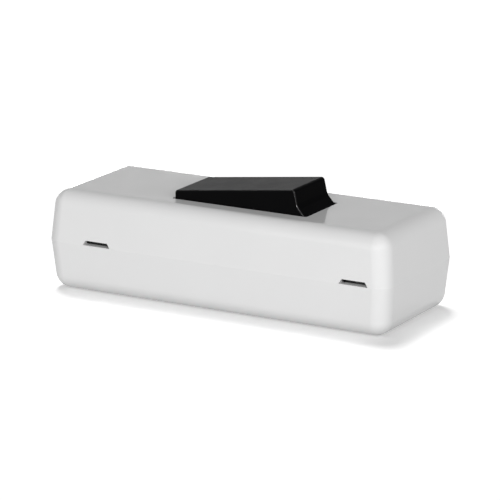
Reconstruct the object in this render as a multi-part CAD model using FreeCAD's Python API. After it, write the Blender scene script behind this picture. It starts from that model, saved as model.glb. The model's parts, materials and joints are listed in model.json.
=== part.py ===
import FreeCAD
import Part

import math
import os

os.makedirs("parts", exist_ok=True)

Vector = FreeCAD.Vector

# Frame, in millimetres: origin in the middle of the base, +X along the cord, +Y to the back, +Z up.

# Housing: two shells that meet at the parting plane and narrow away from it by the moulding draft
housing_length = 84.0
housing_width = 32.6
lower_height = 11.2
upper_height = 11.2
draft_angle = 5.0
outer_radius = 3.7
wall = 1.8
roof = 2.0
floor = 2.0

# Tongue of the lower shell inside the rim of the upper shell
tongue_thickness = 0.8
tongue_height = 1.4
tongue_clearance = 0.1

# The switch unit stands off the middle of the housing, beside the earth strip
unit_x = 2.7
unit_y = -2.0

# Pry slots through the rim of the upper shell, each in front of a snap latch of the lower shell
slot_inset = 7.8
slot_length = 6.9
slot_end_slope = 0.7
slot_height = 1.05
latch_width = 6.0
latch_thickness = 1.2
latch_height = 3.4
latch_nose = 0.7
latch_nose_height = 1.2
latch_clearance = 0.15

# Cord entries: webs that are broken out of both shells when the cord is fitted
cord_radius = 3.6
entry_clearance = 0.3
entry_skin = 0.9
entry_depth = 5.4

# Rocker, drawn level about its pivot and then tilted to rest with its left end down
rocker_width = 13.6
rocker_top_length = 29.4
rocker_top_height = 10.5
rocker_top_radius = 0.7
rocker_edge = 0.1
rocker_wall = 1.4
rocker_tilt = 7.0
rocker_play = 0.35
pivot_depth = 6.75
waist_reach = 15.1
waist_height = 6.7
waist_radius = 3.0
toe_reach = 16.6
toe_height = 4.6
toe_radius = 0.3
skirt_height = 3.2
cheek_reach = 4.6
cheek_depth = 2.6
cheek_radius = 1.2

# Trunnions of the rocker and the snap bearings that hang from the roof
trunnion_radius = 1.5
trunnion_length = 1.5
trunnion_clearance = 0.05
bearing_thickness = 1.6
bearing_half_width = 4.4
bearing_corner = 1.5
bearing_below_pivot = 2.9
mouth_half_width = 1.25
mouth_flare = 2.5
mouth_lead = 0.8
opening_lip = 1.0
opening_relief = 1.7
opening_corner = 0.6

# Spring tubes in the rocker, one over each pole
tube_radius = 2.3
tube_bore = 1.6
tube_bore_top = 7.6
tube_above_ears = 3.05
tube_web = 1.2

# Plungers and their springs
plunger_clearance = 0.08
plunger_tip_radius = 1.2
plunger_nose_steps = (90, 45, 15)
plunger_shoulder = 0.7
plunger_length = 5.4
plunger_gap = 0.165
spring_wire_radius = 0.2
spring_radius = 1.2
spring_turns = 3
spring_wire_flats = 4

# See-saw blades on the edges of the fulcrum terminals
blade_tilt = 11.0
blade_thickness = 1.2
blade_width = 4.0
blade_contact_end = 9.3
blade_tail_end = 7.6
blade_tail_length = 1.6
blade_tail_clearance = 0.2
blade_groove_clearance = 0.05
ear_length = 5.2
ear_height = 1.2
ear_thickness = 0.55
ear_slope = 0.4

# Contact tips, brazed to the blades and the strips
contact_arm = 7.8
contact_gap = 0.25
moving_tip_side = 2.4
moving_tip_height = 0.7
fixed_tip_side = 3.0
fixed_tip_height = 0.8
tip_margin = 0.8

# Terminal strips, box clamps and their screws
strip_lift = 0.775
strip_thickness = 1.0
strip_bend = 0.5
strip_side_clearance = 0.05
wire_room = 4.3
cage_length = 6.4
cage_width = 5.0
cage_side = 0.65
cage_height = 7.2
cage_top = 1.8
screw_radius = 1.45
screw_clearance = 0.05
screw_length = 6.4
screw_slot = 0.8
screw_slot_depth = 1.0
screw_tip_gap = 1.8

# Ribs of the lower shell that seat the strips and clamps
seat_clearance = 0.2
fence_thickness = 1.0
fence_height = 9.0
pad_width = 2.6
rib_below_fulcrum = 1.4
ledge_width = 0.65
ledge_length = 1.8
ledge_gap = 0.3
stop_foot = 6.0
stop_length = 1.4
stop_gap = 0.25

# Strain relief at both ends
clamp_inset = 8.5
clamp_side_room = 3.5
clamp_length = 6.0
clamp_foot = 2.0
clamp_shoulder = 2.6
clamp_arch = 2.0
clamp_grip = 0.5
clamp_grip_length = 1.2
clamp_grip_width = 4.4
clamp_hole_clearance = 0.2
clamp_screw_inset = 2.5
clamp_screw_radius = 1.4
clamp_screw_above_floor = 3.5
clamp_head_radius = 2.4
clamp_head_height = 1.7
boss_side = 5.6
boss_below_parting = 0.2
boss_hole_depth = 3.0
saddle_length = 4.0
saddle_side = 1.6

# How far a cut runs past the faces that it opens
beyond = 1.0

# Heights that follow from the dimensions above
draft = math.tan(math.radians(draft_angle))
inner_break = (2 - math.sqrt(2)) * (outer_radius - wall)
parting_height = lower_height
housing_height = lower_height + upper_height
roof_inside = housing_height - roof
pivot_height = housing_height - pivot_depth
blade_turn = math.radians(blade_tilt)
tip_drop = contact_arm * math.sin(blade_turn) + moving_tip_height * math.cos(blade_turn)
strip_bottom = floor + strip_lift
strip_top = strip_bottom + strip_thickness
fulcrum_height = strip_top + fixed_tip_height + contact_gap + tip_drop
ears_below_pivot = pivot_height - fulcrum_height - blade_thickness - ear_height
tube_depth = ears_below_pivot - tube_above_ears
shoulder_depth = tube_depth + plunger_shoulder
tip_centre_depth = pivot_height - fulcrum_height - blade_thickness - plunger_gap - plunger_tip_radius
boss_top = parting_height - boss_below_parting

# Places along and across the housing that follow
pivot = Vector(unit_x, unit_y, pivot_height)
fulcrum = Vector(unit_x, unit_y, fulcrum_height)
row_pitch = cage_width + 2 * seat_clearance + fence_thickness
rows = {"front": unit_y - row_pitch / 2, "back": unit_y + row_pitch / 2, "earth": unit_y + 1.5 * row_pitch}
poles = ("front", "back")
ends = {"left": -1, "right": 1}
strip_width = cage_width - 2 * (cage_side + strip_side_clearance)
blade_tail_width = row_pitch - fence_thickness - 2 * blade_tail_clearance
slot_reach = housing_length / 2 - slot_inset - unit_x
clamp_offset = housing_length / 2 - clamp_inset
clamp_span = housing_width - 2 * (wall + clamp_side_room)
clamp_screw_offset = clamp_span / 2 - clamp_screw_inset
terminal_offset = clamp_offset - clamp_length / 2 - wire_room - cage_length / 2 - unit_x
fixed_tip_x = unit_x + contact_arm * math.cos(blade_turn) - moving_tip_height * math.sin(blade_turn)
opening_half_width = rocker_width / 2 + rocker_play
lip_above_pivot = pivot_depth - opening_lip
opening_half_length = math.sqrt(toe_reach**2 + toe_height**2 - lip_above_pivot**2) + rocker_play


def rounded_corner(before, corner, after, radius):
    """Start, middle and end of the arc that rounds a corner between two straight runs."""
    to_before = (before - corner).normalize()
    to_after = (after - corner).normalize()
    half_angle = to_before.getAngle(to_after) / 2
    reach = radius / math.tan(half_angle)
    inward = (to_before + to_after).normalize()
    middle = corner + inward * (radius / math.sin(half_angle) - radius)
    return corner + to_before * reach, middle, corner + to_after * reach


def outline(corners):
    """Closed wire through corners, each a point and the radius that rounds it."""
    stretches = []
    for index, (corner, radius) in enumerate(corners):
        before = corners[index - 1][0]
        after = corners[(index + 1) % len(corners)][0]
        stretches.append(rounded_corner(before, corner, after, radius) if radius else (corner,))
    edges = []
    for index, stretch in enumerate(stretches):
        if len(stretch) == 3:
            edges.append(Part.Arc(*stretch).toShape())
        following = stretches[(index + 1) % len(stretches)][0]
        if stretch[-1].distanceToPoint(following) > 1e-6:
            edges.append(Part.makeLine(stretch[-1], following))
    return Part.Wire(edges)


def side_slab(corners, y_middle, width):
    """Solid of one XZ section, corners as (x, z, radius), centred on y_middle."""
    y_start = y_middle - width / 2
    wire = outline([(Vector(x, y_start, z), radius) for x, z, radius in corners])
    return Part.Face(wire).extrude(Vector(0, width, 0))


def end_slab(corners, x_middle, length):
    """Solid of one YZ section, corners as (y, z, radius), centred on x_middle."""
    x_start = x_middle - length / 2
    wire = outline([(Vector(x_start, y, z), radius) for y, z, radius in corners])
    return Part.Face(wire).extrude(Vector(length, 0, 0))


def plate(x_middle, y_middle, length, width, radius, z_low, z_high):
    """Upright block with a rounded rectangle as its plan."""
    x, y = length / 2, width / 2
    signs = ((-1, -1), (1, -1), (1, 1), (-1, 1))
    corners = [(Vector(x_middle + sx * x, y_middle + sy * y, z_low), radius) for sx, sy in signs]
    return Part.Face(outline(corners)).extrude(Vector(0, 0, z_high - z_low))


def block(x_span, y_span, z_span):
    """Plain block between pairs of coordinates."""
    low = Vector(min(x_span), min(y_span), min(z_span))
    high = Vector(max(x_span), max(y_span), max(z_span))
    size = high - low
    return Part.makeBox(size.x, size.y, size.z, low)


def square_post(x, y, z_low, z_high, side):
    """Upright block, square in plan, about x and y."""
    return block((x - side / 2, x + side / 2), (y - side / 2, y + side / 2), (z_low, z_high))


def upright_rod(x, y, z_low, z_high, radius):
    """Round rod along Z."""
    return Part.makeCylinder(radius, z_high - z_low, Vector(x, y, z_low), Vector(0, 0, 1))


def cross_rod(x, z, y_low, y_high, radius):
    """Round rod along Y."""
    return Part.makeCylinder(radius, y_high - y_low, Vector(x, y_low, z), Vector(0, 1, 0))


def long_rod(y, z, x_low, x_high, radius):
    """Round rod along X."""
    return Part.makeCylinder(radius, x_high - x_low, Vector(x_low, y, z), Vector(1, 0, 0))


def drafted_form(margin, z_end):
    """Half of the housing's form between the parting plane and z_end, a margin inside its faces."""
    x, y = housing_length / 2 - margin, housing_width / 2 - margin
    rise = abs(z_end - parting_height)
    inset = draft * rise
    form = Part.makeWedge(-x, 0, -y, inset - y, inset - x, x, rise, y, y - inset, x - inset)
    form.rotate(Vector(0, 0, 0), Vector(1, 0, 0), 90 if z_end > parting_height else -90)
    form.translate(Vector(0, 0, parting_height))
    return form


def off_parting_plane(form):
    """Edges of a drafted form other than those on the parting plane."""
    return [edge for edge in form.Edges if any(abs(v.Z - parting_height) > 1e-4 for v in edge.Vertexes)]


def outer_form(z_end):
    """Outer shape of one shell, all its edges rounded alike."""
    form = drafted_form(0, z_end)
    return form.makeFillet(outer_radius, off_parting_plane(form))


def inner_form(z_end):
    """Hollow of one shell, its edges broken so that the wall stays even behind the rounding."""
    form = drafted_form(wall, z_end)
    return form.makeChamfer(inner_break, off_parting_plane(form))


def half_width_at(height):
    """Half the housing's outer width at a height."""
    return housing_width / 2 - draft * abs(height - parting_height)


def latch_places():
    """X of each latch and the side, -1 front or 1 back, of its wall."""
    return [(unit_x + end * slot_reach, side) for end in (-1, 1) for side in (-1, 1)]


def latch_face():
    """Distance of the latches' outer faces from the middle plane."""
    return half_width_at(parting_height + latch_height) - wall - latch_clearance


def entry_cut(end):
    """Round pocket behind a break-out web at one end."""
    outer = end * (housing_length / 2 - entry_skin)
    inner = end * (housing_length / 2 - entry_depth)
    return long_rod(0, parting_height, min(outer, inner), max(outer, inner), cord_radius + entry_clearance)


def bearing(side):
    """Web beside the opening that carries one trunnion in an open snap hole."""
    middle = unit_y + side * (opening_half_width + bearing_thickness / 2)
    foot = pivot.z - bearing_below_pivot
    head = roof_inside + roof / 2
    outer = [(-bearing_half_width, foot, bearing_corner), (bearing_half_width, foot, bearing_corner)]
    outer += [(bearing_half_width, head, 0), (-bearing_half_width, head, 0)]
    web = side_slab([(pivot.x + x, z, radius) for x, z, radius in outer], middle, bearing_thickness)
    half_mouth = [(mouth_half_width, pivot.z), (mouth_half_width, foot + mouth_lead)]
    half_mouth += [(mouth_flare, foot), (mouth_flare, foot - beyond)]
    around = half_mouth + [(-x, z) for x, z in reversed(half_mouth)]
    mouth = side_slab([(pivot.x + x, z, 0) for x, z in around], middle, 2 * bearing_thickness)
    hole_radius = trunnion_radius + trunnion_clearance
    hole = cross_rod(pivot.x, pivot.z, middle - bearing_thickness, middle + bearing_thickness, hole_radius)
    return web.cut([hole, mouth])


def pry_slot(x, side):
    """Slot above the parting plane that lets a screwdriver reach a latch, its ends sloped."""
    base, top = slot_length / 2, slot_length / 2 - slot_end_slope
    low, high = parting_height, parting_height + slot_height
    corners = [(x - base, low, 0), (x + base, low, 0), (x + top, high, 0), (x - top, high, 0)]
    return side_slab(corners, side * (housing_width - wall) / 2, wall)


def latch_pocket(x, side):
    """Pocket inside the upper shell that a latch's nose snaps into."""
    half = latch_width / 2 + tongue_clearance
    depth = latch_nose + 2 * latch_clearance
    nose_top = parting_height + latch_height + tongue_clearance
    nose_low = nose_top - latch_nose_height - 2 * tongue_clearance
    y_span = (side * latch_face(), side * (latch_face() + depth))
    return block((x - half, x + half), y_span, (nose_low, nose_top))


def upper_shell():
    """Top half of the housing, open below, with the rocker's opening and bearings."""
    margin = wall - tongue_thickness - tongue_clearance
    rim_relief = plate(
        0,
        0,
        housing_length - 2 * margin,
        housing_width - 2 * margin,
        outer_radius - margin,
        parting_height - beyond,
        parting_height + tongue_height + tongue_clearance,
    )
    opening = plate(
        pivot.x,
        unit_y,
        2 * opening_half_length,
        2 * opening_half_width,
        opening_corner,
        roof_inside - beyond,
        housing_height + beyond,
    )
    under_relief = plate(
        pivot.x,
        unit_y,
        2 * (opening_half_length + opening_relief),
        2 * opening_half_width,
        opening_corner,
        roof_inside - beyond,
        housing_height - opening_lip,
    )
    cuts = [inner_form(roof_inside), rim_relief, opening, under_relief]
    for x, side in latch_places():
        cuts += [pry_slot(x, side), latch_pocket(x, side)]
    cuts += [entry_cut(end) for end in ends.values()]
    shell = outer_form(housing_height).cut(cuts)
    return shell.fuse([bearing(-1), bearing(1)]).removeSplitter()


def latch(x, side):
    """Arm that rises from the floor beside a long wall and hooks into the upper shell."""
    face = latch_face()
    top = parting_height + latch_height
    nose_low = top - latch_nose_height
    corners = [
        (face - latch_thickness, floor / 2),
        (face, floor / 2),
        (face, nose_low),
        (face + latch_nose, nose_low),
        (face + latch_nose, top - latch_nose_height / 2),
        (face - latch_thickness / 2, top),
        (face - latch_thickness, top),
    ]
    return end_slab([(side * y, z, 0) for y, z in corners], x, latch_width)


def tongue():
    """Ring that stands on the rim of the lower shell, left out at the cord entries and pry slots."""
    root = parting_height - tongue_height
    tip = parting_height + tongue_height
    margin = wall - tongue_thickness
    outer_plan = (housing_length - 2 * margin, housing_width - 2 * margin, outer_radius - margin)
    inner_plan = (housing_length - 2 * wall, housing_width - 2 * wall, outer_radius - wall)
    ring = plate(0, 0, *outer_plan, root, tip).cut(plate(0, 0, *inner_plan, root, tip))
    half_gap = cord_radius + entry_clearance
    gaps = [block((-housing_length, housing_length), (-half_gap, half_gap), (parting_height, tip))]
    for x, side in latch_places():
        x_span = (x - slot_length / 2, x + slot_length / 2)
        gaps.append(block(x_span, (side * latch_face(), side * housing_width), (parting_height, tip)))
    return ring.cut(gaps)


def strip_seats():
    """Ribs on the floor that fence the three rows of terminals and carry their strips."""
    inboard = terminal_offset - cage_length / 2 - seat_clearance
    outboard = terminal_offset + cage_length / 2 + seat_clearance
    fence_x = (unit_x - outboard - fence_thickness, unit_x + outboard + fence_thickness)
    fence_rows = [rows["front"] - row_pitch / 2] + [row + row_pitch / 2 for row in rows.values()]
    seats = []
    for y in fence_rows:
        y_span = (y - fence_thickness / 2, y + fence_thickness / 2)
        seats.append(block(fence_x, y_span, (floor / 2, fence_height)))
    for row in rows.values():
        y_pad = (row - pad_width / 2, row + pad_width / 2)
        seats.append(block((unit_x - inboard, unit_x + inboard), y_pad, (floor / 2, strip_bottom)))
        y_row = (row - row_pitch / 2, row + row_pitch / 2)
        for end in ends.values():
            x_stop = (unit_x + end * outboard, unit_x + end * (outboard + fence_thickness))
            seats.append(block(x_stop, y_row, (floor / 2, strip_bottom)))
    return seats


def pole_seats():
    """Rib behind each fulcrum and ledges under each blade's tail."""
    rib_start = unit_x + strip_thickness / 2 + tongue_clearance
    rib_x = (rib_start, rib_start + fence_thickness)
    ledge_start = unit_x - blade_tail_end - ledge_gap
    ledge_x = (ledge_start, ledge_start + ledge_length)
    ledge_top = fulcrum_height - blade_tail_end * math.sin(blade_turn) - ledge_gap
    row_half = row_pitch / 2
    fence_face = row_half - fence_thickness / 2
    rib_z = (floor / 2, fulcrum_height - rib_below_fulcrum)
    seats = []
    for pole in poles:
        y = rows[pole]
        seats.append(block(rib_x, (y - row_half, y + row_half), rib_z))
        for side in (-1, 1):
            y_ledge = (y + side * (fence_face - ledge_width), y + side * row_half)
            seats.append(block(ledge_x, y_ledge, (strip_bottom, ledge_top)))
    return seats


def rocker_stops():
    """Posts on the middle fence that the rocker's ends come down on."""
    turn = math.radians(rocker_tilt)
    top = pivot.z - toe_reach * math.sin(turn) + skirt_height * math.cos(turn) - stop_gap
    low = fence_height - beyond
    posts = []
    for end in ends.values():
        x = unit_x + end * (toe_reach - rocker_wall)
        corners = [(x - stop_foot / 2, low, 0), (x + stop_foot / 2, low, 0)]
        corners += [(x + stop_length / 2, top, 0), (x - stop_length / 2, top, 0)]
        posts.append(side_slab(corners, unit_y, fence_thickness))
    return posts


def clamp_places():
    """X and Y of each screw of the two cord clamps."""
    return [(end * clamp_offset, side * clamp_screw_offset) for end in ends.values() for side in (-1, 1)]


def lower_shell():
    """Bottom half of the housing, with every seat that the inner pieces stand in."""
    seats = [tongue()] + [latch(x, side) for x, side in latch_places()]
    seats += strip_seats() + pole_seats() + rocker_stops()
    cuts = [entry_cut(end) for end in ends.values()]
    half_saddle = cord_radius + saddle_side
    saddle_z = (floor / 2, parting_height - saddle_side)
    for end in ends.values():
        x = end * clamp_offset
        saddle_x = (x - saddle_length / 2, x + saddle_length / 2)
        seats.append(block(saddle_x, (-half_saddle, half_saddle), saddle_z))
        cuts.append(long_rod(0, parting_height, x - saddle_length, x + saddle_length, cord_radius))
    for x, y in clamp_places():
        seats.append(square_post(x, y, floor / 2, boss_top, boss_side))
        hole_low = floor + clamp_screw_above_floor - boss_hole_depth
        cuts.append(upright_rod(x, y, hole_low, boss_top + beyond, clamp_screw_radius + screw_clearance))
    shell = outer_form(0).cut(inner_form(floor))
    return shell.fuse(seats).cut(cuts).removeSplitter()


def tilt_with_rocker(shape):
    """Turns what is drawn level with the rocker to its rest position, left end down."""
    shape.rotate(pivot, Vector(0, 1, 0), -rocker_tilt)
    return shape


def both_halves(corners):
    """Corners given for the right half about the pivot, mirrored and moved to the pivot's place."""
    around = corners + [(-x, z, radius) for x, z, radius in reversed(corners)]
    return [(pivot.x + x, pivot.z + z, radius) for x, z, radius in around]


def rocker_outside():
    """Solid form of the rocker, its side edges broken."""
    corners = [
        (rocker_top_length / 2, rocker_top_height, rocker_top_radius),
        (waist_reach, waist_height, waist_radius),
        (toe_reach, toe_height, toe_radius),
        (toe_reach, skirt_height, 0),
        (toe_reach - rocker_wall, skirt_height, 0),
        (cheek_reach, -cheek_depth, cheek_radius),
    ]
    body = side_slab(both_halves(corners), unit_y, rocker_width)
    broken = []
    for edge in body.Edges:
        above_skirt = all(v.Z > pivot.z + skirt_height - 1e-3 for v in edge.Vertexes)
        along_side = abs(edge.Vertexes[0].Y - edge.Vertexes[-1].Y) < 1e-4
        on_skirt = all(v.Z < pivot.z + skirt_height + 1e-3 for v in edge.Vertexes)
        if above_skirt and along_side and not on_skirt:
            broken.append(edge)
    return body.makeChamfer(rocker_edge, broken)


def rocker_inside():
    """Hollow of the rocker, one wall inside its outer faces and open below."""
    corners = [
        (rocker_top_length / 2 - rocker_wall, rocker_top_height - rocker_wall, 0),
        (waist_reach - rocker_wall, waist_height - rocker_wall / 2, waist_radius),
        (toe_reach - rocker_wall, toe_height - rocker_wall / 4, 0),
        (toe_reach - rocker_wall, -2 * cheek_depth, 0),
    ]
    return side_slab(both_halves(corners), unit_y, rocker_width - 2 * rocker_wall)


def rocker():
    """Hollow rocker with flared ends, cheeks, trunnions and the two spring tubes."""
    inside_top = pivot.z + rocker_top_height - rocker_wall / 2
    half_web = tube_web / 2
    half_span = (rocker_width - rocker_wall) / 2
    web_x = (pivot.x - half_web, pivot.x + half_web)
    web_y = (unit_y - half_span, unit_y + half_span)
    additions = [block(web_x, web_y, (pivot.z - cheek_depth / 2, inside_top))]
    for side in (-1, 1):
        root = unit_y + side * half_span
        tip = unit_y + side * (rocker_width / 2 + trunnion_length)
        additions.append(cross_rod(pivot.x, pivot.z, min(root, tip), max(root, tip), trunnion_radius))
    bores = []
    for pole in poles:
        additions.append(upright_rod(pivot.x, rows[pole], pivot.z - tube_depth, inside_top, tube_radius))
        bore_low = pivot.z - tube_depth - cheek_depth
        bores.append(upright_rod(pivot.x, rows[pole], bore_low, pivot.z + tube_bore_top, tube_bore))
    body = rocker_outside().cut(rocker_inside()).fuse(additions).cut(bores)
    return tilt_with_rocker(body.removeSplitter())


def plunger(pole):
    """Pin with a rounded nose that rides on the blade."""
    centre = pivot.z - tip_centre_depth
    shoulder = pivot.z - shoulder_depth
    back = shoulder + plunger_length
    body_radius = tube_bore - plunger_clearance
    body = upright_rod(pivot.x, rows[pole], shoulder, back, body_radius)
    nose = [upright_rod(pivot.x, rows[pole], centre, shoulder, plunger_tip_radius)]
    rings = []
    for degrees in plunger_nose_steps:
        angle = math.radians(degrees)
        ring_height = centre - plunger_tip_radius * math.cos(angle)
        rings.append((plunger_tip_radius * math.sin(angle), ring_height))
    for (wide, high), (narrow, low) in zip(rings, rings[1:]):
        nose.append(Part.makeCone(narrow, wide, high - low, Vector(pivot.x, rows[pole], low)))
    return tilt_with_rocker(body.fuse(nose).removeSplitter())


def plunger_spring(pole):
    """Compression spring between the plunger and the end of the rocker's bore."""
    bottom = pivot.z - shoulder_depth + plunger_length + spring_wire_radius
    height = pivot.z + tube_bore_top - spring_wire_radius - bottom
    helix = Part.makeHelix(height / spring_turns, height, spring_radius)
    corners = []
    for flat in range(spring_wire_flats + 1):
        angle = 2 * math.pi * flat / spring_wire_flats
        across = spring_wire_radius * math.cos(angle)
        corners.append(Vector(spring_radius + across, 0, spring_wire_radius * math.sin(angle)))
    coil = Part.Wire(helix.Edges).makePipeShell([Part.makePolygon(corners)], True, True)
    coil.translate(Vector(pivot.x, rows[pole], bottom))
    return tilt_with_rocker(coil)


def tilt_with_blade(shape):
    """Turns what is drawn with a level blade to its rest position, contact end down."""
    shape.rotate(fulcrum, Vector(0, 1, 0), blade_tilt)
    return shape


def contact_blade(pole):
    """See-saw blade with a groove for the fulcrum, ears beside the plunger and a wide tail."""
    y = rows[pole]
    top = fulcrum_height + blade_thickness
    length = blade_tail_end + blade_contact_end
    middle = unit_x + (blade_contact_end - blade_tail_end) / 2
    tail_middle = unit_x - blade_tail_end + blade_tail_length / 2
    blade = plate(middle, y, length, blade_width, 0, fulcrum_height, top)
    additions = [plate(tail_middle, y, blade_tail_length, blade_tail_width, 0, fulcrum_height, top)]
    base, crest = ear_length / 2, ear_length / 2 - ear_slope
    ear = [(-base, fulcrum_height), (base, fulcrum_height)]
    ear += [(crest, top + ear_height), (-crest, top + ear_height)]
    for side in (-1, 1):
        corners = [(unit_x + x, z, 0) for x, z in ear]
        additions.append(side_slab(corners, y + side * (blade_width - ear_thickness) / 2, ear_thickness))
    groove_radius = strip_thickness / 2 + blade_groove_clearance
    groove = cross_rod(unit_x, fulcrum_height, y - blade_width, y + blade_width, groove_radius)
    return tilt_with_blade(blade.fuse(additions).cut(groove).removeSplitter())


def moving_tip(pole):
    """Contact tip under the blade."""
    x = unit_x + contact_arm
    low = fulcrum_height - moving_tip_height
    return tilt_with_blade(square_post(x, rows[pole], low, fulcrum_height, moving_tip_side))


def fulcrum_terminal(pole):
    """Strip from the left clamp, bent up under the blade into a rounded edge."""
    far_end = unit_x - terminal_offset - cage_length / 2
    half = strip_thickness / 2
    edge_top = fulcrum_height + half
    corners = [
        (far_end, strip_bottom, 0),
        (unit_x + half, strip_bottom, strip_bend + strip_thickness),
        (unit_x + half, edge_top, half),
        (unit_x - half, edge_top, half),
        (unit_x - half, strip_top, strip_bend),
        (far_end, strip_top, 0),
    ]
    return side_slab(corners, rows[pole], strip_width)


def contact_terminal(pole):
    """Strip from the fixed contact tip to the right clamp."""
    near_end = fixed_tip_x - fixed_tip_side / 2 - tip_margin
    far_end = unit_x + terminal_offset + cage_length / 2
    y_span = (rows[pole] - strip_width / 2, rows[pole] + strip_width / 2)
    return block((near_end, far_end), y_span, (strip_bottom, strip_top))


def fixed_tip(pole):
    """Contact tip on the strip under the moving tip."""
    return square_post(fixed_tip_x, rows[pole], strip_top, strip_top + fixed_tip_height, fixed_tip_side)


def earth_strip():
    """Straight strip that passes the earth conductor by the switch."""
    reach = terminal_offset + cage_length / 2
    y_span = (rows["earth"] - strip_width / 2, rows["earth"] + strip_width / 2)
    return block((unit_x - reach, unit_x + reach), y_span, (strip_bottom, strip_top))


def terminal_cage(row, end):
    """Box clamp around the end of a strip, open along X for the conductor."""
    x = unit_x + ends[end] * terminal_offset
    y = rows[row]
    half = cage_width / 2
    half_window = half - cage_side
    top = floor + cage_height
    outer = block((x - cage_length / 2, x + cage_length / 2), (y - half, y + half), (floor, top))
    x_window = (x - cage_length, x + cage_length)
    window = block(x_window, (y - half_window, y + half_window), (strip_bottom, top - cage_top))
    hole = upright_rod(x, y, top - cage_top - beyond, top + beyond, screw_radius + screw_clearance)
    return outer.cut([window, hole])


def screwdriver_slot(x, y, top, depth, reach):
    """Cut along X across the top of a screw."""
    y_span = (y - screw_slot / 2, y + screw_slot / 2)
    return block((x - reach, x + reach), y_span, (top - depth, top + beyond))


def terminal_screws():
    """One headless screw in each box clamp, above the conductor's place."""
    screws = []
    tip = strip_top + screw_tip_gap
    top = tip + screw_length
    for y in rows.values():
        for end in ends.values():
            x = unit_x + end * terminal_offset
            slot = screwdriver_slot(x, y, top, screw_slot_depth, 2 * screw_radius)
            screws.append(upright_rod(x, y, tip, top, screw_radius).cut(slot))
    return Part.makeCompound(screws)


def cord_clamp(end):
    """Bridge over the cord, with a grip rib inside its arch."""
    x = ends[end] * clamp_offset
    x_low, x_high = x - clamp_length / 2, x + clamp_length / 2
    foot_top = boss_top + clamp_foot
    side = cord_radius + clamp_arch
    crown = parting_height + side
    corners = [(-clamp_span / 2, boss_top), (clamp_span / 2, boss_top), (clamp_span / 2, foot_top)]
    corners += [(side, foot_top), (side - clamp_shoulder, crown), (clamp_shoulder - side, crown)]
    corners += [(-side, foot_top), (-clamp_span / 2, foot_top)]
    bridge = end_slab([(y, z, 0) for y, z in corners], x, clamp_length)
    cuts = [long_rod(0, parting_height, x_low - beyond, x_high + beyond, cord_radius)]
    shank_hole = clamp_screw_radius + clamp_hole_clearance
    head_room = clamp_head_radius + clamp_hole_clearance
    for side_sign in (-1, 1):
        y = side_sign * clamp_screw_offset
        cuts.append(upright_rod(x, y, boss_top - beyond, foot_top + beyond, shank_hole))
        cuts.append(block((x_low, x_high), (y - head_room, y + head_room), (foot_top, crown)))
    grip_x = (x - clamp_grip_length / 2, x + clamp_grip_length / 2)
    grip_z = (parting_height + cord_radius - clamp_grip, crown - clamp_arch / 2)
    grip = block(grip_x, (-clamp_grip_width / 2, clamp_grip_width / 2), grip_z)
    return bridge.cut(cuts).fuse(grip).removeSplitter()


def clamp_screws():
    """Two cheese head screws for each bridge."""
    tip = floor + clamp_screw_above_floor
    seat = boss_top + clamp_foot
    top = seat + clamp_head_height
    screws = []
    for x, y in clamp_places():
        shank = upright_rod(x, y, tip, seat, clamp_screw_radius)
        head = upright_rod(x, y, seat, top, clamp_head_radius)
        slot = screwdriver_slot(x, y, top, clamp_head_height / 2, 2 * clamp_head_radius)
        screws.append(shank.fuse(head).cut(slot))
    return Part.makeCompound(screws)


pieces = {
    "upper_shell": upper_shell(),
    "lower_shell": lower_shell(),
    "rocker": rocker(),
    "earth_strip": earth_strip(),
    "terminal_screws": terminal_screws(),
    "clamp_screws": clamp_screws(),
}
for pole in poles:
    pieces["plunger_" + pole] = plunger(pole)
    pieces["plunger_spring_" + pole] = plunger_spring(pole)
    pieces["contact_blade_" + pole] = contact_blade(pole)
    pieces["moving_tip_" + pole] = moving_tip(pole)
    pieces["fulcrum_terminal_" + pole] = fulcrum_terminal(pole)
    pieces["contact_terminal_" + pole] = contact_terminal(pole)
    pieces["fixed_tip_" + pole] = fixed_tip(pole)
for end in ends:
    pieces["cord_clamp_" + end] = cord_clamp(end)
    for row in rows:
        pieces["terminal_cage_" + row + "_" + end] = terminal_cage(row, end)

for name, shape in pieces.items():
    shape.exportStep(os.path.join("parts", name + ".step"))
    print(name, len(shape.Solids), "solid", round(shape.Volume, 2), "mm3", shape.isValid())
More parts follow.
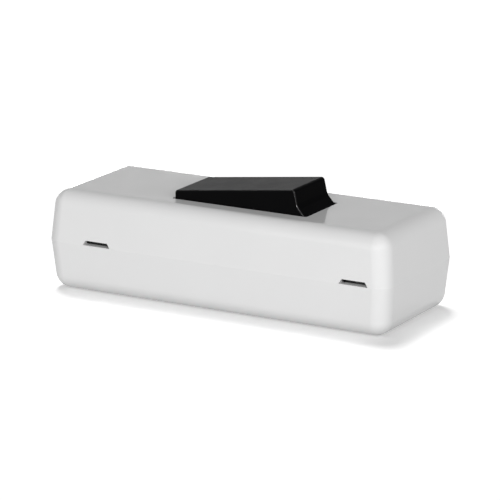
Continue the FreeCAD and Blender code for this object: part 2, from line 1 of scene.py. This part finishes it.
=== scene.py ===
import bpy
import json
import math
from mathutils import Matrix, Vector

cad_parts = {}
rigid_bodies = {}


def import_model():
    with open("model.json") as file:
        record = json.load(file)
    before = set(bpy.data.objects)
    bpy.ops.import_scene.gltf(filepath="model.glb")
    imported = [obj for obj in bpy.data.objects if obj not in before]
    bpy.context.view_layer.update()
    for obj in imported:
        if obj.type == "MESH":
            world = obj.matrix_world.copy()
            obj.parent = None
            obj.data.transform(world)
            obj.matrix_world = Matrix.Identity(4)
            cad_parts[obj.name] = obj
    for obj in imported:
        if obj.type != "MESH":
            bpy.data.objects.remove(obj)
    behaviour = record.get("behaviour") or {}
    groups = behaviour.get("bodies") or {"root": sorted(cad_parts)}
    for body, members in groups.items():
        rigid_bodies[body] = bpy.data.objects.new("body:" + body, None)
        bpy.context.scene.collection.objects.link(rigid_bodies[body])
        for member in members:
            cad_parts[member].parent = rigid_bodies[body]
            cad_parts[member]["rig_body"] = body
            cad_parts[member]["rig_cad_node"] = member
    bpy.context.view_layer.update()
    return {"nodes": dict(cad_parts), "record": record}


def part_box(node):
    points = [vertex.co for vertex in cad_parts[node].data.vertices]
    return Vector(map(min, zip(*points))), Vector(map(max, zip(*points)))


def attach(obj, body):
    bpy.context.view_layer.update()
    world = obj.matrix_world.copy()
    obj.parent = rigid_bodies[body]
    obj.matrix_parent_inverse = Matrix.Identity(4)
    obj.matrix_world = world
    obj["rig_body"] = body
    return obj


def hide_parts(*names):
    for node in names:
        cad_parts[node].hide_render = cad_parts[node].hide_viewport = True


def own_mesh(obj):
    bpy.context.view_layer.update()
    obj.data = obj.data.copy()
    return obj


# Lengths are in metres, angles in degrees and powers in watts
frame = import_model()
print("frame loaded with", len(frame["nodes"]), "nodes")


def deselectAll():
    if bpy.context.object and bpy.context.object.mode != "OBJECT":
        bpy.ops.object.mode_set(mode="OBJECT")
    bpy.ops.object.select_all(action="DESELECT")


def pick(piece):
    deselectAll()
    piece.select_set(True)
    bpy.context.view_layer.objects.active = piece


meshWork = {"weldWithin": 2e-6, "flatWithin": 0.4, "smoothBelow": 32, "normalWeight": 70}


# A CAD node is loose triangles, so its copy is welded and its flat faces are joined up
def weldedCopy(nodeName, pieceName):
    source = frame["nodes"][nodeName]
    piece = source.copy()
    piece.data = source.data.copy()
    piece.name = pieceName
    bpy.context.scene.collection.objects.link(piece)
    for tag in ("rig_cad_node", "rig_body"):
        if tag in piece:
            del piece[tag]
    piece.parent = None
    pick(piece)
    bpy.ops.mesh.customdata_custom_splitnormals_clear()
    bpy.ops.object.mode_set(mode="EDIT")
    bpy.ops.mesh.select_all(action="SELECT")
    bpy.ops.mesh.remove_doubles(threshold=meshWork["weldWithin"])
    bpy.ops.mesh.dissolve_limited(angle_limit=math.radians(meshWork["flatWithin"]))
    bpy.ops.mesh.select_all(action="DESELECT")
    bpy.ops.object.mode_set(mode="OBJECT")
    return piece


# Breaks the edges sharper than an angle, and lets the large faces keep their flat shading
def softenEdges(piece, look):
    pick(piece)
    bevel = piece.modifiers.new("softEdges", "BEVEL")
    bevel.limit_method = "ANGLE"
    bevel.angle_limit = math.radians(look["sharpFrom"])
    bevel.width = look["softEdge"]
    bevel.segments = look["segments"]
    bevel.miter_outer = "MITER_ARC"
    bpy.ops.object.modifier_apply(modifier="softEdges")
    bpy.ops.object.shade_smooth_by_angle(angle=math.radians(meshWork["smoothBelow"]))
    evened = piece.modifiers.new("evenedNormals", "WEIGHTED_NORMAL")
    evened.weight = meshWork["normalWeight"]
    evened.keep_sharp = True
    bpy.ops.object.modifier_apply(modifier="evenedNormals")


def paint(piece, material):
    piece.data.materials.clear()
    piece.data.materials.append(material)


def newGroup(name, inputs, outputs):
    group = bpy.data.node_groups.new(name, "ShaderNodeTree")
    for label, kind, value in inputs:
        socket = group.interface.new_socket(
            name=label, in_out="INPUT", socket_type="NodeSocket" + kind)
        socket.default_value = value
    for label, kind in outputs:
        group.interface.new_socket(name=label, in_out="OUTPUT", socket_type="NodeSocket" + kind)
    return group, group.nodes.new("NodeGroupInput"), group.nodes.new("NodeGroupOutput")


# Another node's output is linked to the socket, and anything else becomes its value
def feed(tree, socket, value):
    if isinstance(value, bpy.types.NodeSocket):
        tree.links.new(value, socket)
    else:
        socket.default_value = value


def addNode(tree, kind, inputs=None, **settings):
    node = tree.nodes.new("ShaderNode" + kind)
    for key, value in settings.items():
        setattr(node, key, value)
    for label, value in (inputs or {}).items():
        feed(tree, node.inputs[label], value)
    return node


def noise(tree, coords, look):
    inputs = {"Vector": coords, "Scale": look["scale"], "Detail": look["detail"],
              "Distortion": look.get("distortion", 0)}
    return addNode(tree, "TexNoise", inputs).outputs["Fac"]


# Brings what lies between two limits out to the whole range from 0 to the top
def spread(tree, value, low, high, top=1):
    inputs = {"Value": value, "From Min": low, "From Max": high, "To Max": top}
    return addNode(tree, "MapRange", inputs).outputs["Result"]


def spreadNoise(tree, coords, look):
    return spread(tree, noise(tree, coords, look), look["low"], look["high"])


def calculate(tree, operation, first, second):
    return addNode(tree, "Math", {0: first, 1: second}, operation=operation).outputs[0]


def dotProduct(tree, first, second):
    node = addNode(tree, "VectorMath", {0: first, 1: second}, operation="DOT_PRODUCT")
    return node.outputs["Value"]


def blend(tree, kind, share, first, second):
    inputs = {"Factor": share, "A": first, "B": second}
    return addNode(tree, "Mix", inputs, data_type=kind).outputs["Result"]


def bumped(tree, height, strength, distance, normal=None):
    inputs = {"Height": height, "Strength": strength, "Distance": distance}
    if normal:
        inputs["Normal"] = normal
    return addNode(tree, "Bump", inputs).outputs["Normal"]


rubbing = {"samples": 6, "flat": 0.995, "edge": 0.86,
           "patches": {"scale": 420, "detail": 4, "low": 0.4, "high": 0.62}}


# Mask of the edges that hands and tools rub: 1 on an edge and 0 on a flat
def buildRubbedEdges(look):
    group, inputs, outputs = newGroup(
        "rubbedEdges",
        [("Radius", "Float", 0.0002), ("Patchiness", "Float", 0.5)],
        [("Mask", "Float"), ("Normal", "Vector")],
    )
    given = inputs.outputs
    coords = addNode(group, "TexCoord").outputs["Object"]
    ownNormal = addNode(group, "NewGeometry").outputs["Normal"]
    rounded = addNode(group, "Bevel", {"Radius": given["Radius"]}, samples=look["samples"])
    likeness = dotProduct(group, rounded.outputs["Normal"], ownNormal)
    edge = spread(group, likeness, look["flat"], look["edge"])
    patches = spreadNoise(group, coords, look["patches"])
    worn = blend(group, "FLOAT", given["Patchiness"], 1, patches)
    feed(group, outputs.inputs["Mask"], calculate(group, "MULTIPLY", edge, worn))
    feed(group, outputs.inputs["Normal"], rounded.outputs["Normal"])
    return group


# Settings of the painted shade in the slots
slotShadeLook = {"samples": 12, "reach": 0.005, "open": 0.55, "closed": 0.3, "axis": (0, 1, 0),
           "lowest": 0.006, "wholeFrom": 0.008}


# Mask for painted shade: 1 on the walls behind slots too narrow for the light, on faces that
# look along the axis from
# # deep inside, and 0 near the floor, which would count as a wall. The colour there is darkened
# to stand in for shadow
def buildPaintedSlotShade(look):
    group, inputs, outputs = newGroup("paintedSlotShade", [], [("Mask", "Float")])
    coords = addNode(group, "TexCoord")
    facing = dotProduct(group, coords.outputs["Normal"], look["axis"])
    alongAxis = calculate(group, "MULTIPLY", facing, facing)
    covered = addNode(group, "AmbientOcclusion", {"Distance": look["reach"]},
                      samples=look["samples"])
    depth = spread(group, covered.outputs["AO"], look["open"], look["closed"])
    place = addNode(group, "SeparateXYZ", {"Vector": coords.outputs["Object"]})
    offFloor = spread(group, place.outputs["Z"], look["lowest"], look["wholeFrom"])
    slotShadeAmount = calculate(group, "MULTIPLY", depth, alongAxis)
    feed(group, outputs.inputs["Mask"], calculate(group, "MULTIPLY", slotShadeAmount, offFloor))
    return group


moulding = {"clouds": {"scale": 70, "detail": 3, "distortion": 0.4, "low": 0.36, "high": 0.64},
            "rubbed": {"scale": 230, "detail": 6, "distortion": 0.8, "low": 0.38, "high": 0.66},
            "grainDetail": 2, "grainDepth": 0.0001,
            "wave": {"scale": 60, "detail": 1}, "waveDepth": 0.001}


# Moulded plastic: faint clouds in the colour, gloss that changes a little, a fine pebbled skin
def buildMouldedSkin(look):
    group, inputs, outputs = newGroup(
        "mouldedSkin",
        [("Colour", "Color", (0.8, 0.8, 0.8, 1)), ("Cloud Colour", "Color", (0.6, 0.6, 0.6, 1)),
         ("Clouds", "Float", 0.1), ("Roughness", "Float", 0.2),
         ("Roughness Change", "Float", 0.05), ("Grain Scale", "Float", 900.0),
         ("Grain Height", "Float", 0.05), ("Wave Height", "Float", 0.02)],
        [("Color", "Color"), ("Roughness", "Float"), ("Normal", "Vector")],
    )
    given = inputs.outputs
    coords = addNode(group, "TexCoord").outputs["Object"]
    clouds = spreadNoise(group, coords, look["clouds"])
    share = calculate(group, "MULTIPLY", clouds, given["Clouds"])
    tint = blend(group, "RGBA", share, given["Colour"], given["Cloud Colour"])
    rubbed = spreadNoise(group, coords, look["rubbed"])
    change = calculate(group, "MULTIPLY", rubbed, given["Roughness Change"])
    grain = noise(group, coords, {"scale": given["Grain Scale"], "detail": look["grainDetail"]})
    wave = noise(group, coords, look["wave"])
    swell = bumped(group, wave, given["Wave Height"], look["waveDepth"])
    pebbles = bumped(group, grain, given["Grain Height"], look["grainDepth"], swell)
    feed(group, outputs.inputs["Color"], tint)
    feed(group, outputs.inputs["Roughness"], calculate(group, "ADD", change, given["Roughness"]))
    feed(group, outputs.inputs["Normal"], pebbles)
    return group


stamping = {"film": {"scale": 260, "detail": 5, "distortion": 1.2, "low": 0.4, "high": 0.66},
            "lines": {"scale": 1, "detail": 3}, "lineDepth": 0.00005}


# Stamped or drawn metal: rolling lines along X, and a film of tarnish that dulls the gloss
def buildStampedMetal(look):
    group, inputs, outputs = newGroup(
        "stampedMetal",
        [("Colour", "Color", (0.7, 0.6, 0.3, 1)), ("Tarnish", "Color", (0.3, 0.2, 0.1, 1)),
         ("Tarnish Amount", "Float", 0.3), ("Roughness", "Float", 0.25),
         ("Roughness Change", "Float", 0.2), ("Line Height", "Float", 0.1),
         ("Line Stretch", "Vector", (60.0, 2200.0, 2200.0))],
        [("Color", "Color"), ("Roughness", "Float"), ("Normal", "Vector")],
    )
    given = inputs.outputs
    coords = addNode(group, "TexCoord").outputs["Object"]
    film = spreadNoise(group, coords, look["film"])
    share = calculate(group, "MULTIPLY", film, given["Tarnish Amount"])
    tint = blend(group, "RGBA", share, given["Colour"], given["Tarnish"])
    change = calculate(group, "MULTIPLY", film, given["Roughness Change"])
    stretched = addNode(group, "VectorMath", {0: coords, 1: given["Line Stretch"]},
                        operation="MULTIPLY")
    lines = noise(group, stretched.outputs["Vector"], look["lines"])
    feed(group, outputs.inputs["Color"], tint)
    feed(group, outputs.inputs["Roughness"], calculate(group, "ADD", change, given["Roughness"]))
    feed(group, outputs.inputs["Normal"],
         bumped(group, lines, given["Line Height"], look["lineDepth"]))
    return group


rubbedEdges = buildRubbedEdges(rubbing)
paintedSlotShade = buildPaintedSlotShade(slotShadeLook)
mouldedSkin = buildMouldedSkin(moulding)
stampedMetal = buildStampedMetal(stamping)
print("shared effects built")


# One material: a group gives the skin, rubbed edges change its colour and gloss, and an edge may
# # be polished, a flat may shine at a low angle and deep slots may get painted shade, a dark
# colour standing in for their shadow
def finishOf(name, group, skin, edge, shader, paintedShadeColour=None):
    material = bpy.data.materials.new(name)
    material.use_nodes = True
    tree = material.node_tree
    surface = tree.nodes["Principled BSDF"].inputs
    for label, value in shader.items():
        surface[label].default_value = value
    look = addNode(tree, "Group", skin, node_tree=group).outputs
    rubInputs = {"Radius": edge["radius"], "Patchiness": edge["patchiness"]}
    rub = addNode(tree, "Group", rubInputs, node_tree=rubbedEdges).outputs
    share = calculate(tree, "MULTIPLY", rub["Mask"], edge["amount"])
    colour = blend(tree, "RGBA", share, look["Color"], edge["colour"])
    # Painted shade: the colour turns dark on the walls deep in the slots, where shadow would
    # fall
    if paintedShadeColour:
        slotShade = addNode(tree, "Group", node_tree=paintedSlotShade).outputs["Mask"]
        colour = blend(tree, "RGBA", slotShade, colour, paintedShadeColour)
    feed(tree, surface["Base Color"], colour)
    feed(tree, surface["Roughness"],
         blend(tree, "FLOAT", rub["Mask"], look["Roughness"], edge["roughness"]))
    feed(tree, surface["Normal"], look["Normal"])
    if edge.get("polished"):
        feed(tree, surface["Coat Weight"], rub["Mask"])
        feed(tree, surface["Coat Normal"], rub["Normal"])
    if edge.get("sheen"):
        grazing = addNode(tree, "LayerWeight").outputs["Facing"]
        sheen = edge["sheen"]
        feed(tree, surface["Specular IOR Level"],
             spread(tree, grazing, sheen["from"], sheen["to"], sheen["level"]))
    return material


# The white mouldings of the housing
whiteHousing = finishOf(
    "whiteHousing",
    mouldedSkin,
    {"Colour": (0.79, 0.79, 0.79, 1), "Cloud Colour": (0.72, 0.72, 0.725, 1), "Clouds": 0.12,
     "Roughness": 0.06, "Roughness Change": 0.05, "Grain Scale": 1400, "Grain Height": 0.02,
     "Wave Height": 0.012},
    {"radius": 0.0003, "patchiness": 0.7, "amount": 0.5, "colour": (0.84, 0.84, 0.84, 1),
     "roughness": 0.16},
    {"IOR": 1.5, "Specular IOR Level": 0.16},
    # Painted shade colour for the walls deep in the pry slots
    (0.012, 0.012, 0.012, 1),
)
housingLook = {"softEdge": 0.00006, "segments": 2, "sharpFrom": 25}
for nodeName, pieceName in (("upper_shell", "upperHousing"), ("lower_shell", "lowerHousing")):
    shell = weldedCopy(nodeName, pieceName)
    softenEdges(shell, housingLook)
    paint(shell, whiteHousing)
    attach(shell, "housing")
    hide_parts(nodeName)
print("housing shells finished")

# The black see-saw rocker
blackRocker = finishOf(
    "blackRocker",
    mouldedSkin,
    {"Colour": (0.0044, 0.0044, 0.0046, 1), "Cloud Colour": (0.006, 0.006, 0.0064, 1),
     "Clouds": 0.4, "Roughness": 0.5, "Roughness Change": 0.03, "Grain Scale": 2600,
     "Grain Height": 0.12, "Wave Height": 0.002},
    {"radius": 0.00022, "patchiness": 0.2, "amount": 0.3, "colour": (0.008, 0.008, 0.009, 1),
     "roughness": 0.4, "polished": True, "sheen": {"from": 0.48, "to": 0.74, "level": 0.024}},
    {"IOR": 1.5, "Coat Roughness": 0.1, "Coat IOR": 2.2},
)
rockerLook = {"softEdge": 0.00008, "segments": 2, "sharpFrom": 20}
rocker = weldedCopy("rocker", "seeSawRocker")
softenEdges(rocker, rockerLook)
paint(rocker, blackRocker)
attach(rocker, "rocker_body")
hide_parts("rocker")
print("rocker finished")

# What stands inside the housing keeps its CAD shape and gets its own finish
plungerPlastic = finishOf(
    "plungerPlastic",
    mouldedSkin,
    {"Colour": (0.62, 0.58, 0.46, 1), "Cloud Colour": (0.5, 0.45, 0.33, 1), "Clouds": 0.4,
     "Roughness": 0.38, "Roughness Change": 0.12, "Grain Scale": 1800, "Grain Height": 0.1,
     "Wave Height": 0.02},
    {"radius": 0.0002, "patchiness": 0.4, "amount": 0.5, "colour": (0.7, 0.67, 0.56, 1),
     "roughness": 0.22},
    {"IOR": 1.48, "Subsurface Weight": 0.1, "Subsurface Scale": 0.0008},
)
clampPlastic = finishOf(
    "clampPlastic",
    mouldedSkin,
    {"Colour": (0.68, 0.68, 0.66, 1), "Cloud Colour": (0.58, 0.58, 0.56, 1), "Clouds": 0.3,
     "Roughness": 0.34, "Roughness Change": 0.12, "Grain Scale": 1500, "Grain Height": 0.12,
     "Wave Height": 0.02},
    {"radius": 0.0002, "patchiness": 0.5, "amount": 0.4, "colour": (0.75, 0.75, 0.74, 1),
     "roughness": 0.25},
    {"IOR": 1.5},
)


def metalFinish(name, skin, edge):
    return finishOf(name, stampedMetal, skin, edge, {"Metallic": 1.0})


springSteel = metalFinish(
    "springSteel",
    {"Colour": (0.42, 0.42, 0.43, 1), "Tarnish": (0.22, 0.2, 0.18, 1), "Tarnish Amount": 0.4,
     "Roughness": 0.24, "Roughness Change": 0.16, "Line Height": 0.12},
    {"radius": 0.00006, "patchiness": 0.3, "amount": 0.4, "colour": (0.6, 0.6, 0.61, 1),
     "roughness": 0.16},
)
copperAlloy = metalFinish(
    "copperAlloy",
    {"Colour": (0.68, 0.36, 0.2, 1), "Tarnish": (0.3, 0.13, 0.07, 1), "Tarnish Amount": 0.45,
     "Roughness": 0.26, "Roughness Change": 0.2, "Line Height": 0.22},
    {"radius": 0.00012, "patchiness": 0.4, "amount": 0.5, "colour": (0.86, 0.54, 0.36, 1),
     "roughness": 0.18},
)
brassStrip = metalFinish(
    "brassStrip",
    {"Colour": (0.66, 0.45, 0.17, 1), "Tarnish": (0.27, 0.17, 0.06, 1), "Tarnish Amount": 0.4,
     "Roughness": 0.25, "Roughness Change": 0.2, "Line Height": 0.24},
    {"radius": 0.00012, "patchiness": 0.4, "amount": 0.5, "colour": (0.85, 0.66, 0.34, 1),
     "roughness": 0.18},
)
contactSilver = metalFinish(
    "contactSilver",
    {"Colour": (0.82, 0.81, 0.78, 1), "Tarnish": (0.3, 0.25, 0.2, 1), "Tarnish Amount": 0.35,
     "Roughness": 0.2, "Roughness Change": 0.25, "Line Height": 0.08,
     "Line Stretch": (700.0, 700.0, 700.0)},
    {"radius": 0.0001, "patchiness": 0.5, "amount": 0.5, "colour": (0.92, 0.91, 0.89, 1),
     "roughness": 0.14},
)
platedSteel = metalFinish(
    "platedSteel",
    {"Colour": (0.56, 0.57, 0.59, 1), "Tarnish": (0.36, 0.35, 0.33, 1), "Tarnish Amount": 0.4,
     "Roughness": 0.28, "Roughness Change": 0.18, "Line Height": 0.14},
    {"radius": 0.00012, "patchiness": 0.5, "amount": 0.5, "colour": (0.74, 0.75, 0.76, 1),
     "roughness": 0.2},
)
innerFinishes = {
    "plunger_spring": springSteel,
    "plunger": plungerPlastic,
    "cord_clamp": clampPlastic,
    "contact_blade": copperAlloy,
    "moving_tip": contactSilver,
    "fixed_tip": contactSilver,
    "fulcrum_terminal": brassStrip,
    "contact_terminal": brassStrip,
    "earth_strip": brassStrip,
    "terminal_cage": platedSteel,
    "terminal_screws": platedSteel,
    "clamp_screws": platedSteel,
}

# Round wire springs with closed ends, one in each bore.
# Low and high are measured up the bore from the rocker's pivot
springLook = {"low": 0.001506, "high": 0.007596, "coilRadius": 0.0012, "wireRadius": 0.0002,
              "closedPitch": 0.00041, "openTurns": 4, "steps": 24, "sides": 12,
              "weldWithin": 1e-6, "smoothBelow": 50, "stroke": 0.0008, "tilt": -7}


def coil(low, pitch, turns, look):
    deselectAll()
    bpy.ops.mesh.primitive_circle_add(
        vertices=look["sides"], radius=look["wireRadius"], rotation=(math.pi / 2, 0, 0))
    ring = bpy.context.object
    ring.location = (look["coilRadius"], 0, low)
    bpy.ops.object.transform_apply(location=True, rotation=True, scale=True)
    winding = ring.modifiers.new("winding", "SCREW")
    winding.steps = look["steps"]
    winding.render_steps = look["steps"]
    winding.iterations = turns
    winding.screw_offset = pitch
    bpy.ops.object.modifier_apply(modifier="winding")
    return ring


# Open turns between two closed ones, welded into one wire with a face at each end
def closedSpring(pieceName, look):
    first = look["low"] + look["wireRadius"]
    last = look["high"] - look["wireRadius"] - look["closedPitch"]
    openLow = first + look["closedPitch"]
    parts = [coil(first, look["closedPitch"], 1, look),
             coil(openLow, (last - openLow) / look["openTurns"], look["openTurns"], look),
             coil(last, look["closedPitch"], 1, look)]
    deselectAll()
    for part in parts:
        part.select_set(True)
    bpy.context.view_layer.objects.active = parts[0]
    bpy.ops.object.join()
    spring = bpy.context.object
    spring.name = pieceName
    bpy.ops.object.mode_set(mode="EDIT")
    bpy.ops.mesh.select_all(action="SELECT")
    bpy.ops.mesh.remove_doubles(threshold=look["weldWithin"])
    bpy.ops.mesh.select_all(action="DESELECT")
    bpy.ops.mesh.select_mode(type="EDGE")
    bpy.ops.mesh.select_non_manifold()
    bpy.ops.mesh.edge_face_add()
    bpy.ops.mesh.select_all(action="SELECT")
    bpy.ops.mesh.normals_make_consistent(inside=False)
    bpy.ops.object.mode_set(mode="OBJECT")
    bpy.ops.object.shade_smooth_by_angle(angle=math.radians(look["smoothBelow"]))
    return spring


jointPlace = {joint["name"]: joint for joint in frame["record"]["behaviour"]["joints"]}
pivotPlace = jointPlace["rocker_pivot"]["pos_m"]
for pole in ("front", "back"):
    nodeName = "plunger_spring_" + pole
    low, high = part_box(nodeName)
    foot = Vector((pivotPlace[0], (low[1] + high[1]) / 2, pivotPlace[2]))
    spring = closedSpring("spring." + pole, springLook)
    spring.rotation_euler = (0, math.radians(springLook["tilt"]), 0)
    spring.location = foot
    bpy.ops.object.transform_apply(location=True, rotation=True, scale=True)
    paint(spring, springSteel)
    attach(spring, "rocker_body")
    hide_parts(nodeName)
    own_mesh(spring)
print("springs wound")

for nodeName, node in frame["nodes"].items():
    for start, material in innerFinishes.items():
        if nodeName.startswith(start):
            paint(node, material)
            break
print("inner pieces finished")


# Unit vector from the middle towards a side and a height, azimuth 0 facing the long front
def direction(azimuth, elevation):
    around = math.radians(azimuth)
    above = math.radians(elevation)
    return Vector((math.sin(around) * math.cos(above), -math.cos(around) * math.cos(above),
                   math.sin(above)))


# Camera at the photograph's angle
view = {"target": (0, 0, 0.012), "azimuth": 29.64, "elevation": 14.92, "distance": 0.6916,
        "lens": 229.58, "shiftX": 0.0032, "shiftY": -0.0129, "nearest": 0.01}
towards = direction(view["azimuth"], view["elevation"])
deselectAll()
bpy.ops.object.camera_add(location=Vector(view["target"]) + towards * view["distance"])
camera = bpy.context.object
camera.rotation_euler = towards.to_track_quat("Z", "Y").to_euler()
camera.data.lens = view["lens"]
camera.data.shift_x = view["shiftX"]
camera.data.shift_y = view["shiftY"]
camera.data.clip_start = view["nearest"]
bpy.context.scene.camera = camera


# 1 for rays from the camera, in mirror images and through glass, and 0 for the light itself
def shownDirectly(tree):
    path = addNode(tree, "LightPath").outputs
    mirrored = calculate(tree, "MAXIMUM", path["Is Camera Ray"], path["Is Glossy Ray"])
    return calculate(tree, "MAXIMUM", mirrored, path["Is Transmission Ray"])


def evenColour(level):
    return (level, level, level, 1)


# Floor: white to the camera, with the shadow left in, and pale grey with some glow to the light
floorLook = {"size": 8, "grey": 0.5, "bounce": 0.16, "white": 1.6, "glow": 0.2}
deselectAll()
bpy.ops.mesh.primitive_plane_add(size=floorLook["size"], location=(0, 0, 0))
floor = bpy.context.object
floor.name = "studioFloor"
floorPaint = bpy.data.materials.new("studioFloor")
floorPaint.use_nodes = True
tree = floorPaint.node_tree
tree.nodes.clear()
plain = addNode(tree, "BsdfDiffuse", {"Color": evenColour(floorLook["grey"])})
bounce = addNode(tree, "Emission", {"Strength": floorLook["bounce"]})
litFloor = addNode(tree, "AddShader", {0: plain.outputs[0], 1: bounce.outputs[0]})
bright = addNode(tree, "BsdfDiffuse", {"Color": evenColour(floorLook["white"])})
glow = addNode(tree, "Emission", {"Strength": floorLook["glow"]})
seenFloor = addNode(tree, "AddShader", {0: bright.outputs[0], 1: glow.outputs[0]})
chosen = addNode(tree, "MixShader",
                 {0: shownDirectly(tree), 1: litFloor.outputs[0], 2: seenFloor.outputs[0]})
addNode(tree, "OutputMaterial", {"Surface": chosen.outputs[0]})
paint(floor, floorPaint)

# World: a soft even room that looks white
room = {"light": 0.165, "white": 1.0}
world = bpy.data.worlds.new("studioRoom")
bpy.context.scene.world = world
world.use_nodes = True
tree = world.node_tree
tree.nodes.clear()
soft = addNode(tree, "Background", {"Color": evenColour(1), "Strength": room["light"]})
backdrop = addNode(tree, "Background", {"Color": evenColour(1), "Strength": room["white"]})
chosen = addNode(tree, "MixShader",
                 {0: shownDirectly(tree), 1: soft.outputs[0], 2: backdrop.outputs[0]})
addNode(tree, "OutputWorld", {"Surface": chosen.outputs[0]})


# What a lamp lights: the members alone, or all but the members
def lightGroup(name, members, state):
    group = bpy.data.collections.new(name)
    for member in members:
        group.objects.link(member)
    for link in group.collection_objects:
        link.light_linking.link_state = state
    return group


lightGroups = {
    "floor": lightGroup("litFloor", (floor,), "INCLUDE"),
    "product": lightGroup("litProduct", (floor,), "EXCLUDE"),
    "housing": lightGroup("litHousing", (floor, rocker), "EXCLUDE"),
}

# Lamps, each given by the side it stands on, its height, its size, its power and what it lights
lamps = {
    "leftPanel": {"azimuth": 6, "elevation": 12, "distance": 1.1, "width": 1.5, "height": 0.9,
                  "power": 7.25, "lights": "product"},
    "rightPanel": {"azimuth": 68, "elevation": 25, "distance": 1.1, "width": 1.0, "height": 0.7,
                   "power": 4.1, "lights": "product"},
    "spotPanel": {"azimuth": 30, "elevation": 12, "distance": 1.0, "width": 0.1, "height": 0.16,
                  "power": 2.55, "lights": "product"},
    "backPanel": {"azimuth": 214, "elevation": 3, "distance": 1.2, "width": 1.4, "height": 0.2,
                  "power": 2.4, "lights": "product"},
    "backFill": {"azimuth": 200, "elevation": 3, "distance": 1.2, "width": 1.6, "height": 0.4,
                 "power": 5.0, "lights": "housing"},
    "floorPanel": {"azimuth": 225, "elevation": 70, "distance": 3.0, "width": 0.9, "height": 0.9,
                   "power": 36.5, "lights": "floor"},
}
for lampName, lamp in lamps.items():
    away = direction(lamp["azimuth"], lamp["elevation"])
    bpy.ops.object.light_add(type="AREA", location=away * lamp["distance"])
    panel = bpy.context.object
    panel.name = lampName
    panel.rotation_euler = away.to_track_quat("Z", "Y").to_euler()
    panel.data.shape = "RECTANGLE"
    panel.data.size = lamp["width"]
    panel.data.size_y = lamp["height"]
    panel.data.energy = lamp["power"]
    panel.light_linking.receiver_collection = lightGroups[lamp["lights"]]
bpy.context.scene.view_settings.view_transform = "Standard"
print("floor, room, lamps and camera placed")
